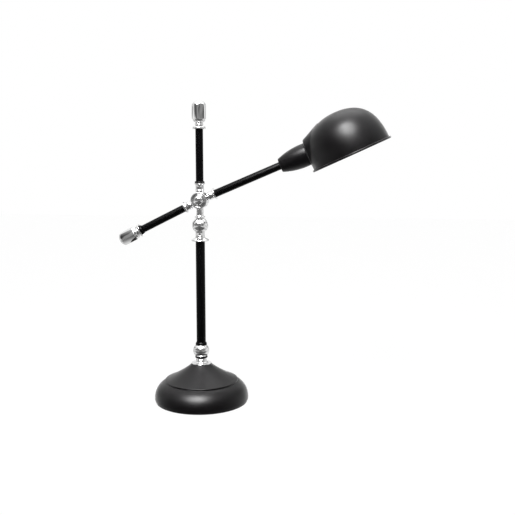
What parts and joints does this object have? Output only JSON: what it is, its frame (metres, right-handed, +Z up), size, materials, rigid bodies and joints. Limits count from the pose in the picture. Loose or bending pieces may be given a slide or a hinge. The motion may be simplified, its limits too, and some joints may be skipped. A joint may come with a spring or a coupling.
{
  "type": "desk lamp",
  "caption": "Free-standing desk lamp: round weighted base, swivelling post with a finial, arm that tilts on a clamped hub with a counterweight on its tail, and a domed shade with a side neck.",
  "frame": {"origin": "centre of the underside of the base pad, on the post's axis, at the table", "axes": "+Z up along the post; the arm that carries the shade points to +X; the hub's domed nut faces -Y; the cord's way in is at the back, +Y"},
  "size_m": [0.4656, 0.1668, 0.5224],
  "materials": {
    "satin_black": "satin",
    "gloss_black": "gloss",
    "chrome": "polished",
    "black_plastic": "matte",
    "black_rubber": "matte",
    "black_felt": "felt",
    "cast_iron": "rough",
    "plain_steel": "plain",
    "brass": "plain",
    "bulb_cap_metal": "plain",
    "bulb_glass": "frosted"
  },
  "bodies": {
    "base": {"base_pad": "black_felt", "base_shell": "satin_black", "base_ballast": "cast_iron", "base_washer": "plain_steel", "base_nut": "plain_steel", "base_nipple": "brass", "cord_grommet": "black_rubber", "base_gasket": "black_rubber", "base_flange": "chrome", "swivel_washer": "black_plastic", "swivel_nut": "plain_steel"},
    "mast": {"base_ball": "chrome", "lower_end_ring": "gloss_black", "lower_spigot": "plain_steel", "lower_tube": "gloss_black", "post_cap": "chrome", "mast_nipple": "brass", "upper_ball": "chrome", "lower_ferrule": "chrome", "post_hub": "chrome", "upper_ferrule": "chrome", "upper_foot_ring": "gloss_black", "upper_tube": "gloss_black", "upper_end_ring": "gloss_black", "top_flange": "chrome", "top_finial": "chrome", "pivot_bolt": "chrome", "pivot_nut": "chrome", "friction_washer": "brass", "spring_washer": "plain_steel"},
    "arm": {"arm_hub": "chrome", "front_ferrule": "chrome", "arm_tube": "gloss_black", "head_nipple": "brass", "head_washer": "plain_steel", "head_nut": "plain_steel", "tail_ferrule": "chrome", "tail_tube": "gloss_black", "tail_end_ring": "gloss_black", "tail_flange": "chrome", "tail_counterweight": "chrome"},
    "head": {"socket_cup": "satin_black", "lampholder": "black_plastic", "lampholder_shell": "brass", "lampholder_contact": "brass", "shade": "satin_black", "shade_ring": "black_plastic", "bulb_glass": "bulb_glass", "bulb_cap": "bulb_cap_metal", "bulb_contact": "brass"}
  },
  "joints": [
    {"name": "mast_swivel", "type": "hinge", "parent": "base", "child": "mast", "pos_m": [0, 0, 0.0812], "axis": [0, 0, 1], "range_deg": [-170, 170]},
    {"name": "arm_tilt", "type": "hinge", "parent": "mast", "child": "arm", "pos_m": [0, 0, 0.3544], "axis": [0, -1, 0], "range_deg": [-65, 17]},
    {"name": "head_turn", "type": "hinge", "parent": "arm", "child": "head", "pos_m": [0.13856, 0, 0.41365], "axis": [0.9195, 0, 0.3931], "range_deg": [-90, 90]}
  ]
}
